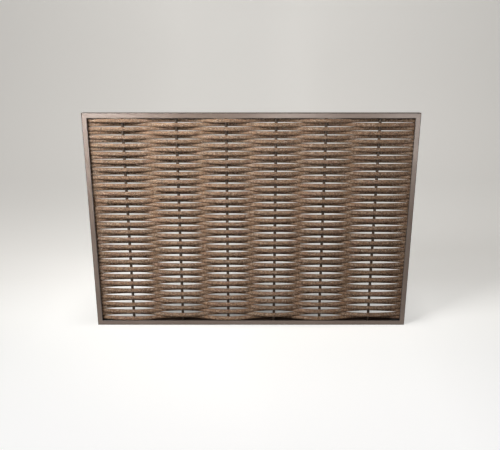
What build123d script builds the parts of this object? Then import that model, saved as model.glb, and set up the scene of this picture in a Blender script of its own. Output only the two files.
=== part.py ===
# Woven fence panel: strands woven over and under upright rods, held in a mitred frame of channel.
# X runs along the panel, Y from its front to its back and Z up.
# The origin is the middle of the bottom face.
import os

from build123d import *

# Driving dimensions, in millimetres
panel_width = 1500
frame_face = 25
frame_depth = 40
frame_wall = 2
frame_edge_radius = 3

rod_diameter = 13
inner_rod_spacing = 223
outer_rod_spacing = 240

strand_count = 53
strand_height = 18.2
strand_width = 17.5
strand_flat = 8.4
strand_insert = 8
shoulder_length = 90

key_leg_length = 60
key_lead_in = 2

# Clearances between pieces
strand_gap = 0.15
strand_to_rail = 0.3
strand_to_rod = 0.3
strand_to_key = 0.3
rod_end_gap = 0.3
key_gap = 0.3

# Sizes that follow from them
strand_pitch = strand_height + strand_gap
weave_bottom = frame_face + strand_to_rail
panel_height = strand_count * strand_pitch - strand_gap + 2 * weave_bottom
opening_half = panel_width / 2 - frame_face
weave_reach = (rod_diameter + strand_width) / 2 + strand_to_rod
cavity_face = frame_face - frame_wall
cavity_depth = frame_depth - 2 * frame_wall
rod_length = panel_height - 2 * frame_wall - rod_end_gap
key_corner = frame_wall + key_gap
key_thickness = frame_face - strand_insert - key_corner - strand_to_key

# Rod centres along X: four evenly spaced, and one more beyond them on each side
half_spacing = inner_rod_spacing / 2
right_rods = [half_spacing, half_spacing + inner_rod_spacing]
right_rods.append(right_rods[-1] + outer_rod_spacing)
rod_places = [-x for x in reversed(right_rods)] + right_rods

upright_middle = Plane.YZ
level_middle = Plane.XY.offset(panel_height / 2)

os.makedirs("parts", exist_ok=True)


# The frame: four lengths of one channel, mitred at their ends, with the open side facing inwards.
# The stiles take the strands' ends and the rails take the rods' ends.
with BuildPart() as bottom_rail:
    with BuildSketch(Plane(origin=(0, 0, frame_face / 2), x_dir=(0, 1, 0), z_dir=(1, 0, 0))):
        RectangleRounded(frame_depth, frame_face, frame_edge_radius)
        with Locations((0, frame_wall / 2)):
            Rectangle(cavity_depth, cavity_face, mode=Mode.SUBTRACT)
    extrude(amount=panel_width / 2, both=True)
    for side in (-1, 1):
        mitre = Plane(origin=(side * panel_width / 2, 0, 0), z_dir=(side, 0, 1))
        split(bisect_by=mitre, keep=Keep.BOTTOM)
bottom_rail.part.label = "bottom_rail"
export_step(bottom_rail.part, "parts/bottom_rail.step")

with BuildPart() as top_rail:
    mirror(bottom_rail.part, about=level_middle)
top_rail.part.label = "top_rail"
export_step(top_rail.part, "parts/top_rail.step")

with BuildPart() as left_stile:
    with BuildSketch(Plane(origin=(frame_face / 2 - panel_width / 2, 0, 0))):
        RectangleRounded(frame_face, frame_depth, frame_edge_radius)
        with Locations((frame_wall / 2, 0)):
            Rectangle(cavity_face, cavity_depth, mode=Mode.SUBTRACT)
    extrude(amount=panel_height)
    for height, rise in ((0, -1), (panel_height, 1)):
        mitre = Plane(origin=(-panel_width / 2, 0, height), z_dir=(1, 0, rise))
        split(bisect_by=mitre, keep=Keep.BOTTOM)
left_stile.part.label = "left_stile"
export_step(left_stile.part, "parts/left_stile.step")

with BuildPart() as right_stile:
    mirror(left_stile.part, about=upright_middle)
right_stile.part.label = "right_stile"
export_step(right_stile.part, "parts/right_stile.step")


# A corner key: an angle block whose legs slide into a rail and a stile and hold the mitre closed
with BuildPart() as corner_key:
    key_origin = (key_corner - panel_width / 2, 0, key_corner)
    with BuildSketch(Plane(origin=key_origin, x_dir=(1, 0, 0), z_dir=(0, -1, 0))):
        Rectangle(key_leg_length, key_thickness, align=Align.MIN)
        Rectangle(key_thickness, key_leg_length, align=Align.MIN)
    extrude(amount=cavity_depth / 2 - key_gap, both=True)
    across = corner_key.edges().filter_by(Axis.Y)
    leg_tips = across.group_by(Axis.X)[-1] + across.group_by(Axis.Z)[-1]
    chamfer(leg_tips, key_lead_in)

for level in ("bottom", "top"):
    for hand in ("left", "right"):
        with BuildPart() as placed_key:
            add(corner_key.part)
            if hand == "right":
                mirror(about=upright_middle, mode=Mode.REPLACE)
            if level == "top":
                mirror(about=level_middle, mode=Mode.REPLACE)
        placed_key.part.label = f"{level}_{hand}_corner_key"
        export_step(placed_key.part, f"parts/{level}_{hand}_corner_key.step")


# The upright rods: each stands on the bottom rail's outer wall and runs up into the top rail
for number, rod_x in enumerate(rod_places, start=1):
    with BuildPart() as upright_rod:
        with BuildSketch(Plane.XY.offset(frame_wall)):
            with Locations((rod_x, 0)):
                Circle(rod_diameter / 2)
        extrude(amount=rod_length)
    upright_rod.part.label = f"upright_rod_{number}"
    export_step(upright_rod.part, f"parts/upright_rod_{number}.step")


def strand_route(first_side):
    """Centre line of a strand that passes the first rod on one side (-1 front, 1 back)."""
    end = opening_half + strand_insert
    points = [(-end, 0)]
    for index, rod_x in enumerate(rod_places):
        y = first_side * (-1) ** index * weave_reach
        points.append((rod_x - shoulder_length / 2, y))
        points.append((rod_x + shoulder_length / 2, y))
    return points + [(end, 0)]


# The two kinds of strand, at the level of the lowest one: a six-sided bar bent around the rods
strands = []
for first_side in (-1, 1):
    with BuildPart() as strand:
        with BuildLine(Plane.XY.offset(weave_bottom + strand_height / 2)):
            route = Polyline(*strand_route(first_side))
        with BuildSketch(Plane(origin=route @ 0, x_dir=(0, 1, 0), z_dir=(1, 0, 0))):
            Polygon(
                (strand_width / 2, 0),
                (strand_flat / 2, strand_height / 2),
                (-strand_flat / 2, strand_height / 2),
                (-strand_width / 2, 0),
                (-strand_flat / 2, -strand_height / 2),
                (strand_flat / 2, -strand_height / 2),
            )
        sweep(transition=Transition.RIGHT)
    strands.append(strand.part)

# The woven infill: the two kinds take turns from the bottom rail to the top rail
with BuildPart() as woven_infill:
    for kind, strand_part in enumerate(strands):
        rises = [level * strand_pitch for level in range(kind, strand_count, 2)]
        with Locations(*[(0, 0, rise) for rise in rises]):
            add(strand_part)
woven_infill.part.label = "woven_infill"
export_step(woven_infill.part, "parts/woven_infill.step")
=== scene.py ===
"""Looks for the woven fence panel: round strands, finishes, a pale studio and the photograph's camera.

Lengths are in metres and colours are linear, from 0 to 1.
"""

import math
import random

import bpy
import numpy as np
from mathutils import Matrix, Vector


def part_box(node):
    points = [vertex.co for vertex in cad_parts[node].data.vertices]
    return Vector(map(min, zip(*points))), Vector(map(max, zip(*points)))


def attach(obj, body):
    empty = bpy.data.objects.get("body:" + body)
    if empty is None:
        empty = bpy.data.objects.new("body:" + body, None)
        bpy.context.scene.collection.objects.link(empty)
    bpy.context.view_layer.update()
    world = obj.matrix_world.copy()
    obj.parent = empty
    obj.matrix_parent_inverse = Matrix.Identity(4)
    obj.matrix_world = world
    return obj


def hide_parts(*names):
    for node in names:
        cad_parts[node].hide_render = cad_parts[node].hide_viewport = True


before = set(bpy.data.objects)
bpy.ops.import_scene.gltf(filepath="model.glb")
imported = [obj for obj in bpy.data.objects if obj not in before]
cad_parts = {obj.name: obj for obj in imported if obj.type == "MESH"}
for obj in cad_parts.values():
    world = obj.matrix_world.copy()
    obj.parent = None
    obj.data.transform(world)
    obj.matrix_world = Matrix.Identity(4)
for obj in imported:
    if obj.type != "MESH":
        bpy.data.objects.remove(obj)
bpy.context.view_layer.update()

BODY = "root"
INFILL = "woven_infill"
FRAME_NODES = ("bottom_rail", "top_rail", "left_stile", "right_stile")
KEY_NODES = tuple(f"{level}_{hand}_corner_key" for level in ("bottom", "top") for hand in ("left", "right"))
ROD_NODES = tuple(f"upright_rod_{number}" for number in range(1, 7))


# ---------------------------------------------------------------- sizes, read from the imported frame

def box_centre(node):
    low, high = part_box(node)
    return (low + high) / 2


infill_low, infill_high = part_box(INFILL)
_, stile_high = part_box("left_stile")

STRAND_COUNT = 53
STRAND_GAP = 0.00035                 # height left open between neighbours
STRAND_DEPTH = 0.0175                # front to back, as the solids' six-sided bars are
END_INSET = 0.0002                   # keeps the strands' ends just inside the solids' ends

rod_places = [box_centre(node).x for node in ROD_NODES]
strand_pitch = (infill_high.z - infill_low.z) / STRAND_COUNT
half_height = (strand_pitch - STRAND_GAP) / 2
half_depth = STRAND_DEPTH / 2
weave_reach = infill_high.y - half_depth
strand_end = infill_high.x - END_INSET
opening_half = -stile_high.x


# ---------------------------------------------------------------- shader building blocks

def new_material(name):
    made = bpy.data.materials.new(name)
    made.use_nodes = True
    tree = made.node_tree
    tree.nodes.clear()
    shader = tree.nodes.new("ShaderNodeBsdfPrincipled")
    output = tree.nodes.new("ShaderNodeOutputMaterial")
    tree.links.new(shader.outputs["BSDF"], output.inputs["Surface"])
    return made, tree, shader


def place(tree, grain):
    """The point on the object, divided by a grain's size along each axis."""
    where = tree.nodes.new("ShaderNodeTexCoord")
    mapping = tree.nodes.new("ShaderNodeMapping")
    mapping.inputs["Scale"].default_value = [1 / size for size in grain]
    tree.links.new(where.outputs["Object"], mapping.inputs["Vector"])
    return mapping.outputs["Vector"]


def noise(tree, grain, detail=2.0, roughness=0.5):
    """Soft noise from 0 to 1 whose blobs are about as large as the grain."""
    made = tree.nodes.new("ShaderNodeTexNoise")
    made.inputs["Scale"].default_value = 1.0
    made.inputs["Detail"].default_value = detail
    made.inputs["Roughness"].default_value = roughness
    tree.links.new(place(tree, grain), made.inputs["Vector"])
    return made.outputs["Fac"]


def cells(tree, grain, randomness):
    """Cells about as large as the grain: a random red and green for each, and the distance from its middle."""
    made = tree.nodes.new("ShaderNodeTexVoronoi")
    made.inputs["Scale"].default_value = 1.0
    made.inputs["Randomness"].default_value = randomness
    tree.links.new(place(tree, grain), made.inputs["Vector"])
    split = tree.nodes.new("ShaderNodeSeparateColor")
    tree.links.new(made.outputs["Color"], split.inputs["Color"])
    return split.outputs["Red"], split.outputs["Green"], made.outputs["Distance"]


def ramp(tree, value, stops):
    """Turns a value into a colour or grey; stops are (position, colour), lowest first."""
    made = tree.nodes.new("ShaderNodeValToRGB")
    elements = made.color_ramp.elements
    elements[0].position, elements[1].position = stops[0][0], stops[-1][0]
    for position, _ in stops[1:-1]:
        elements.new(position)
    for element, (_, colour) in zip(elements, stops):
        grey = (colour,) * 3 if isinstance(colour, (int, float)) else colour
        element.color = (*grey, 1.0)
    tree.links.new(value, made.inputs["Fac"])
    return made.outputs["Color"]


def along(tree, value, stops):
    """A ramp over a length; stops are (metres, grey or colour)."""
    low, high = stops[0][0], stops[-1][0]
    made = tree.nodes.new("ShaderNodeMapRange")
    made.inputs["From Min"].default_value = low
    made.inputs["From Max"].default_value = high
    tree.links.new(value, made.inputs["Value"])
    return ramp(tree, made.outputs["Result"], [((at - low) / (high - low), colour) for at, colour in stops])


def mix(tree, first, second, factor, blend="MIX"):
    made = tree.nodes.new("ShaderNodeMix")
    made.data_type = "RGBA"
    made.blend_type = blend
    # Sockets 0, 6 and 7 are the factor and the two colours of an RGBA mix, and output 2 is its result
    for socket, given in ((made.inputs[0], factor), (made.inputs[6], first), (made.inputs[7], second)):
        if isinstance(given, bpy.types.NodeSocket):
            tree.links.new(given, socket)
        elif isinstance(given, (int, float)):
            socket.default_value = given
        else:
            socket.default_value = (*given, 1.0)
    return made.outputs[2]


def times(tree, first, second):
    """The product of two colours."""
    return mix(tree, first, second, 1.0, "MULTIPLY")


def maths(tree, operation, first, second=0.0):
    made = tree.nodes.new("ShaderNodeMath")
    made.operation = operation
    for socket, given in zip(made.inputs, (first, second)):
        if isinstance(given, (int, float)):
            socket.default_value = given
        else:
            tree.links.new(given, socket)
    return made.outputs[0]


def cover(tree, under, colour, where, strength):
    """Lays a colour over another one where a mask says, at a given strength."""
    return mix(tree, under, colour, maths(tree, "MULTIPLY", where, strength))


def bump(tree, height, distance, strength, under=None):
    made = tree.nodes.new("ShaderNodeBump")
    made.inputs["Strength"].default_value = strength
    made.inputs["Distance"].default_value = distance
    tree.links.new(height, made.inputs["Height"])
    if under is not None:
        tree.links.new(under, made.inputs["Normal"])
    return made.outputs["Normal"]


def edges(tree):
    """1 on rounded edges, where the surface faces between two sides, and 0 on flat faces: the mask for the frame's
    painted edge shade.
    """
    facing = tree.nodes.new("ShaderNodeTexCoord")
    split = tree.nodes.new("ShaderNodeSeparateXYZ")
    tree.links.new(facing.outputs["Normal"], split.inputs["Vector"])
    x, y, z = (maths(tree, "ABSOLUTE", split.outputs[axis]) for axis in "XYZ")
    flatness = maths(tree, "MAXIMUM", maths(tree, "MAXIMUM", x, y), z)
    return ramp(tree, flatness, EDGE_SHADE_SHARE)


def looked_at(tree):
    """1 where the camera sees a surface, directly or through a reflection or glass, and 0 where it lights others."""
    rays = tree.nodes.new("ShaderNodeLightPath")
    seen = maths(tree, "MAXIMUM", rays.outputs["Is Camera Ray"], rays.outputs["Is Glossy Ray"])
    return maths(tree, "MAXIMUM", seen, rays.outputs["Is Transmission Ray"])


def drive(tree, shader, **sockets):
    """Links each named shader input, such as base_color, to what is given."""
    for name, given in sockets.items():
        tree.links.new(given, shader.inputs[name.replace("_", " ").title()])


# ---------------------------------------------------------------- materials

# Strand fibre
TONE_GRAIN = (0.11, 0.05, 0.03)
TONES = ((0.30, (0.264, 0.151, 0.090)), (0.52, (0.286, 0.173, 0.100)), (0.72, (0.316, 0.182, 0.120)))
FLECK_GRAIN = (0.0050, 0.0040, 0.0040)
FLECK_RANDOMNESS = 0.9
FLECK_SHADES = ((0.0, 0.44), (0.45, 0.86), (0.8, 1.26), (1.0, 1.0))
PALE_FLECK, PALE_FLECK_STRENGTH = (0.66, 0.53, 0.42), 0.52
PALE_FLECK_SHARE = ((0.70, 0.0), (0.92, 1.0))
PIT_GRAIN = (0.0046, 0.0032, 0.0032)
PIT, PIT_STRENGTH = (0.075, 0.040, 0.022), 0.78
PIT_SHARE = ((0.38, 1.0), (0.49, 0.0))
FIBRE_GRAIN = (0.006, 0.0008, 0.0008)
FIBRE_HEIGHT, FIBRE_STRENGTH = 0.0005, 0.55
FLECK_HEIGHT, FLECK_STRENGTH = 0.0008, 0.4
FIBRE_ROUGHNESS = ((0.3, 0.82), (0.7, 0.64))

# Frame coating
CLOUD_GRAIN = (0.22, 0.05, 0.12)
CLOUDS = ((0.30, (0.160, 0.114, 0.090)), (0.70, (0.202, 0.149, 0.121)))
SPARKLE_GRAIN = (0.0009, 0.0009, 0.0009)
SPARKLE, SPARKLE_STRENGTH = (0.42, 0.36, 0.30), 0.35
SPARKLE_SHARE = ((0.60, 0.0), (0.78, 1.0))
SPARKLE_HEIGHT, SPARKLE_BUMP = 0.00006, 0.35
# Painted shade: the rounded edges are darkened nearly to black
PAINTED_EDGE_SHADE, PAINTED_EDGE_SHADE_STRENGTH = (0.020, 0.015, 0.012), 0.95
EDGE_SHADE_SHARE = ((0.95, 1.0), (0.998, 0.0))      # by how squarely the surface faces an axis
MARK_GRAIN = (0.05, 0.012, 0.012)
COATING_ROUGHNESS = ((0.25, 0.34), (0.75, 0.44))

# Rod coating and key plastic
DRAW_LINE_GRAIN = (0.0012, 0.0012, 0.06)
ROD_TONES = ((0.30, (0.078, 0.053, 0.038)), (0.70, (0.118, 0.086, 0.064)))
DRAW_LINE_HEIGHT, DRAW_LINE_STRENGTH = 0.00008, 0.3
ROD_ROUGHNESS = ((0.25, 0.42), (0.75, 0.56))
PLASTIC_GRAIN = (0.0007, 0.0007, 0.0007)
PLASTIC_TONES = ((0.3, (0.030, 0.029, 0.028)), (0.7, (0.046, 0.044, 0.042)))
PLASTIC_HEIGHT, PLASTIC_STRENGTH = 0.0001, 0.5
PLASTIC_ROUGHNESS = ((0.3, 0.48), (0.7, 0.62))


def strand_material():
    """Matte tan-brown fibre: light and dark flecks along the strand over slow changes of tone."""
    made, tree, shader = new_material("strand_fibre")
    colour = ramp(tree, noise(tree, TONE_GRAIN, detail=2), TONES)
    shade, pale, distance = cells(tree, FLECK_GRAIN, FLECK_RANDOMNESS)
    colour = times(tree, colour, ramp(tree, shade, FLECK_SHADES))
    colour = cover(tree, colour, PALE_FLECK, ramp(tree, pale, PALE_FLECK_SHARE), PALE_FLECK_STRENGTH)
    pits = noise(tree, PIT_GRAIN, detail=3, roughness=0.7)
    colour = cover(tree, colour, PIT, ramp(tree, pits, PIT_SHARE), PIT_STRENGTH)
    own_tone = tree.nodes.new("ShaderNodeAttribute")
    own_tone.attribute_name = "tone"
    colour = times(tree, colour, own_tone.outputs["Color"])
    fibres = noise(tree, FIBRE_GRAIN, detail=4, roughness=0.7)
    normal = bump(tree, fibres, FIBRE_HEIGHT, FIBRE_STRENGTH)
    normal = bump(tree, maths(tree, "SUBTRACT", 1.0, distance), FLECK_HEIGHT, FLECK_STRENGTH, normal)
    drive(tree, shader, base_color=colour, roughness=ramp(tree, pits, FIBRE_ROUGHNESS), normal=normal)
    shader.inputs["Specular IOR Level"].default_value = 0.5
    return made


def frame_material():
    """Satin bronze coating: a slight metallic sheen with fine sparkle, faint cloudy marks and painted shade
    darkening its rounded edges.
    """
    made, tree, shader = new_material("frame_coating")
    colour = ramp(tree, noise(tree, CLOUD_GRAIN, detail=3), CLOUDS)
    sparkle = noise(tree, SPARKLE_GRAIN, detail=2)
    colour = cover(tree, colour, SPARKLE, ramp(tree, sparkle, SPARKLE_SHARE), SPARKLE_STRENGTH)
    # Painted shade: darkens the rounded edges nearly to black
    colour = cover(tree, colour, PAINTED_EDGE_SHADE, edges(tree), PAINTED_EDGE_SHADE_STRENGTH)
    marks = noise(tree, MARK_GRAIN, detail=4, roughness=0.6)
    normal = bump(tree, sparkle, SPARKLE_HEIGHT, SPARKLE_BUMP)
    drive(tree, shader, base_color=colour, roughness=ramp(tree, marks, COATING_ROUGHNESS), normal=normal)
    shader.inputs["Metallic"].default_value = 0.3
    shader.inputs["Coat Weight"].default_value = 0.5
    shader.inputs["Coat Roughness"].default_value = 0.3
    return made


def rod_material():
    """Dark brown coated rod with long faint draw lines."""
    made, tree, shader = new_material("rod_coating")
    lines = noise(tree, DRAW_LINE_GRAIN, detail=3)
    rough = ramp(tree, lines, ROD_ROUGHNESS)
    normal = bump(tree, lines, DRAW_LINE_HEIGHT, DRAW_LINE_STRENGTH)
    drive(tree, shader, base_color=ramp(tree, lines, ROD_TONES), roughness=rough, normal=normal)
    shader.inputs["Metallic"].default_value = 0.4
    return made


def key_material():
    """Dark moulded plastic with a fine grain."""
    made, tree, shader = new_material("key_plastic")
    grain = noise(tree, PLASTIC_GRAIN, detail=3)
    rough = ramp(tree, grain, PLASTIC_ROUGHNESS)
    normal = bump(tree, grain, PLASTIC_HEIGHT, PLASTIC_STRENGTH)
    drive(tree, shader, base_color=ramp(tree, grain, PLASTIC_TONES), roughness=rough, normal=normal)
    return made


# ---------------------------------------------------------------- the woven strands

FACE_FLATNESS = 0.84                 # 1 is a true ellipse, and less is flatter on its faces
SIDES = 20                           # points in each ring round a strand
STATION = 0.006                      # from one ring to the next
WAVER_LENGTHS = (0.031, 0.017, 0.0093)
WAVER_DEPTH = 0.011                  # share of its thickness that a strand wavers by, to either side
TONE_SPREAD, WARMTH_SPREAD = 0.07, 0.025
WEAVE_SEED = 53


def strand_y(x, first_side):
    """Front-to-back place of a strand's middle: it swings from one side of a rod to the other side of the next."""
    if x <= rod_places[0] or x >= rod_places[-1]:
        passed = 0 if x <= rod_places[0] else len(rod_places) - 1
        rod = rod_places[passed]
        run = min(abs(x - rod) / (opening_half - abs(rod)), 1.0) / 2
    else:
        passed = max(index for index, rod in enumerate(rod_places) if rod < x)
        left, right = rod_places[passed:passed + 2]
        run = (x - left) / (right - left)
    return first_side * (-1) ** passed * weave_reach * math.cos(run * math.pi)


def squared(swing):
    """Makes a round section a little flatter on its faces."""
    return np.sign(swing) * np.abs(swing) ** FACE_FLATNESS


def strand_rings(level, dice):
    """A slightly uneven strand's surface: one ring of points at each station along X."""
    first_side = -1 if level % 2 == 0 else 1
    height = infill_low.z + (level + 0.5) * strand_pitch
    stations = int(round(2 * strand_end / STATION)) + 1
    xs = np.linspace(-strand_end, strand_end, stations)
    ys = np.array([strand_y(x, first_side) for x in xs])
    tilt = np.arctan(np.gradient(ys, xs))
    phases = [dice.uniform(0, 2 * math.pi) for _ in WAVER_LENGTHS]
    waver = sum(np.sin(xs / length + phase) for length, phase in zip(WAVER_LENGTHS, phases)) / len(phases)
    thickness = 1 - WAVER_DEPTH * (1 + waver)
    turn = np.arange(SIDES) * (2 * math.pi / SIDES)
    across = half_depth * squared(np.cos(turn))[None, :] * thickness[:, None]
    up = half_height * squared(np.sin(turn))[None, :] * thickness[:, None]
    rings = np.empty((stations, SIDES, 3))
    rings[:, :, 0] = xs[:, None] - across * np.sin(tilt)[:, None]
    rings[:, :, 1] = ys[:, None] + across * np.cos(tilt)[:, None]
    rings[:, :, 2] = height + up
    # The first and last rings lie in an upright plane, so that the ends are square
    rings[0, :, 0], rings[-1, :, 0] = -strand_end, strand_end
    rings[:, :, 1] = np.clip(rings[:, :, 1], infill_low.y, infill_high.y)
    return rings


def strand_faces(stations):
    """Quads between neighbouring rings, and a cap on each end."""
    ring = np.arange(stations - 1)[:, None] * SIDES
    side = np.arange(SIDES)[None, :]
    after = (side + 1) % SIDES
    quads = np.stack([ring + SIDES + side, ring + SIDES + after, ring + after, ring + side], axis=-1)
    first_cap = list(range(SIDES))
    last_cap = [(stations - 1) * SIDES + k for k in reversed(range(SIDES))]
    return quads.reshape(-1, 4).tolist() + [first_cap, last_cap]


def strand_mesh(name, level, dice):
    """A round strand along X with a tone of its own, slightly uneven as fibre is."""
    rings = strand_rings(level, dice)
    mesh = bpy.data.meshes.new(name)
    mesh.from_pydata(rings.reshape(-1, 3).tolist(), [], strand_faces(len(rings)))
    mesh.shade_smooth()
    value = dice.uniform(1 - TONE_SPREAD, 1 + TONE_SPREAD)
    warmth = dice.uniform(-WARMTH_SPREAD, WARMTH_SPREAD)
    tone = (value * (1 + warmth), value, value * (1 - warmth), 1.0)
    painted = mesh.color_attributes.new("tone", "FLOAT_COLOR", "POINT")
    painted.data.foreach_set("color", np.tile(tone, len(mesh.vertices)))
    return mesh


def weave():
    fibre = strand_material()
    dice = random.Random(WEAVE_SEED)
    for level in range(STRAND_COUNT):
        name = f"strand_{level + 1:02d}"
        strand = bpy.data.objects.new(name, strand_mesh(name, level, dice))
        bpy.context.scene.collection.objects.link(strand)
        strand.data.materials.append(fibre)
        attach(strand, BODY)
        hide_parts(INFILL)


def dress(nodes, finish):
    """Gives the solids' own nodes a finish in place of their plain one."""
    for node in nodes:
        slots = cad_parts[node].data.materials
        if len(slots) == 0:
            slots.append(finish)
        for index in range(len(slots)):
            slots[index] = finish


# ---------------------------------------------------------------- studio

KEY_AT = (-2.6, -1.45, 2.2)
CAMERA_AT = (-0.0052, -2.5216, 1.2272)
CAMERA_PITCH = 74                    # degrees up from looking straight down
CAMERA_LENS = 40.28                  # millimetres

FLOOR_FRONT, FLOOR_BACK, COVE, WALL_TOP, STAGE_HALF = -6.0, 3.6, 2.4, 6.5, 9.0
COVE_START, COVE_STEPS = 0.05, 24    # angle of the cove's first step, and how many there are

# The sweep's paint: darker close to the key lamp, so that the floor under it doesn't clip to white
PAINT_FROM_KEY = ((0.0, 0.20), (1.5, 0.32), (2.7, 0.80), (6.0, 0.85))
PAINT_BY_DEPTH = ((-1.5, 0.70), (-0.3, 0.775), (0.12, 0.83), (0.5, 1.0))
SWEEP_GRAIN = (0.02, 0.02, 0.02)
SWEEP_MOTTLE = ((0.3, 0.98), (0.7, 1.0))

# The sweep's own pale glow, which is looked at but doesn't light the panel
GLOW_BY_DEPTH = (
    (-2.0, (0.80, 0.80, 0.80)), (-0.9, (0.735, 0.735, 0.735)),
    (-0.3, (0.672, 0.672, 0.662)), (0.1, (0.668, 0.661, 0.640)),
    (0.6, (0.52, 0.508, 0.484)), (1.1, (0.460, 0.447, 0.422)),
    (2.4, (0.455, 0.442, 0.417)), (5.0, (0.495, 0.481, 0.454)))
GLOW_BY_WIDTH = ((-4.0, 0.83), (-1.0, 1.03), (-0.6, 1.0), (0.1, 0.975), (0.7, 1.03), (1.1, 0.98), (4.0, 0.78))

# Painted shadow: the glow is dimmed behind the panel's foot, so that the floor there looks shaded
SHADOW_BY_WIDTH = ((0.0, 1.0), (0.25, 0.9), (0.6, 0.5), (0.95, 0.0))
SHADOW_BY_DEPTH = ((-0.05, 0.0), (0.03, 1.0), (0.25, 0.8), (0.7, 0.0))
SHADOW_STRENGTH = 0.8

SKY_LIGHT = (0.102, 0.096, 0.090)    # what the world lights the panel with
SKY_SEEN = (0.45, 0.44, 0.425)       # what the world looks like past the sweep


def backdrop_material():
    """Pale grey sweep: near white under the panel and greyer far behind it; it takes the panel's shadow, and a
    painted shadow dims its glow behind the panel's foot.
    """
    made, tree, shader = new_material("studio_sweep")
    where = tree.nodes.new("ShaderNodeTexCoord")
    split = tree.nodes.new("ShaderNodeSeparateXYZ")
    tree.links.new(where.outputs["Object"], split.inputs["Vector"])
    x, y = split.outputs["X"], split.outputs["Y"]
    from_key = tree.nodes.new("ShaderNodeVectorMath")
    from_key.operation = "DISTANCE"
    from_key.inputs[1].default_value = (KEY_AT[0], KEY_AT[1], 0.0)
    tree.links.new(where.outputs["Object"], from_key.inputs[0])
    paint = along(tree, from_key.outputs["Value"], PAINT_FROM_KEY)
    paint = times(tree, paint, along(tree, y, PAINT_BY_DEPTH))
    mottle = ramp(tree, noise(tree, SWEEP_GRAIN, detail=3), SWEEP_MOTTLE)
    drive(tree, shader, base_color=times(tree, paint, mottle))
    shader.inputs["Roughness"].default_value = 0.9
    shader.inputs["Specular IOR Level"].default_value = 0.1
    # Painted shadow behind the panel's foot: the glow is dimmed there
    across = along(tree, maths(tree, "ABSOLUTE", x), SHADOW_BY_WIDTH)
    shadow = maths(tree, "MULTIPLY", across, along(tree, y, SHADOW_BY_DEPTH))
    glow = cover(tree, along(tree, y, GLOW_BY_DEPTH), (0.0, 0.0, 0.0), shadow, SHADOW_STRENGTH)
    glow = times(tree, glow, along(tree, x, GLOW_BY_WIDTH))
    tree.links.new(glow, shader.inputs["Emission Color"])
    tree.links.new(looked_at(tree), shader.inputs["Emission Strength"])
    return made


def sweep():
    """Floor, cove and wall in one curved sheet."""
    turns = np.linspace(COVE_START, math.pi / 2, COVE_STEPS)
    profile = [(FLOOR_FRONT, 0.0), (FLOOR_BACK, 0.0)]
    profile += [(FLOOR_BACK + COVE * math.sin(turn), COVE * (1 - math.cos(turn))) for turn in turns]
    profile.append((FLOOR_BACK + COVE, WALL_TOP))
    points = [(x, y, z) for y, z in profile for x in (-STAGE_HALF, STAGE_HALF)]
    faces = [(2 * k, 2 * k + 1, 2 * k + 3, 2 * k + 2) for k in range(len(profile) - 1)]
    mesh = bpy.data.meshes.new("sweep")
    mesh.from_pydata(points, [], faces)
    mesh.shade_smooth()
    mesh.materials.append(backdrop_material())
    made = bpy.data.objects.new("sweep", mesh)
    bpy.context.scene.collection.objects.link(made)


def lamp(name, place_at, look_at, size, watts, colour=(1.0, 1.0, 1.0), spread=180):
    """A round area lamp; spread is its beam's full angle in degrees."""
    light = bpy.data.lights.new(name, "AREA")
    light.shape = "DISK"
    light.size = size
    light.energy = watts
    light.color = colour
    light.spread = math.radians(spread)
    made = bpy.data.objects.new(name, light)
    bpy.context.scene.collection.objects.link(made)
    made.location = place_at
    made.rotation_euler = (made.location - Vector(look_at)).to_track_quat("Z", "Y").to_euler()


def lamps():
    lamp("key", KEY_AT, (0.0, 0.0, 0.5), size=1.4, watts=54, colour=(1.0, 0.985, 0.96))
    lamp("upper_fill", (-1.3, -1.5, 1.9), (-0.3, 0.0, 1.0), size=0.7, watts=8, colour=(1.0, 0.98, 0.95), spread=76)
    # Narrow beams that brighten three stretches of the top rail
    lamp("left_accent", (-1.5, -2.9, 0.75), (-0.6, 0.0, 1.0), size=0.45, watts=0.75, spread=36)
    lamp("middle_accent", (0.41, -2.9, 0.76), (0.19, 0.0, 1.02), size=0.3, watts=0.20, spread=24)
    lamp("right_accent", (1.6, -2.9, 0.65), (0.74, 0.0, 0.95), size=0.3, watts=0.22, spread=24)


def surroundings():
    """The world: a faint even light, and a paler grey where it is seen."""
    world = bpy.data.worlds.new("studio")
    bpy.context.scene.world = world
    world.use_nodes = True
    tree = world.node_tree
    background = tree.nodes["Background"]
    tree.links.new(mix(tree, SKY_LIGHT, SKY_SEEN, looked_at(tree)), background.inputs["Color"])
    background.inputs["Strength"].default_value = 1.0


def photograph_camera():
    camera = bpy.data.cameras.new("camera")
    camera.lens = CAMERA_LENS
    made = bpy.data.objects.new("camera", camera)
    bpy.context.scene.collection.objects.link(made)
    made.location = CAMERA_AT
    made.rotation_euler = (math.radians(CAMERA_PITCH), 0, 0)
    bpy.context.scene.camera = made
    bpy.context.scene.view_settings.view_transform = "Standard"


weave()
dress(FRAME_NODES, frame_material())
dress(ROD_NODES, rod_material())
dress(KEY_NODES, key_material())
sweep()
lamps()
surroundings()
photograph_camera()
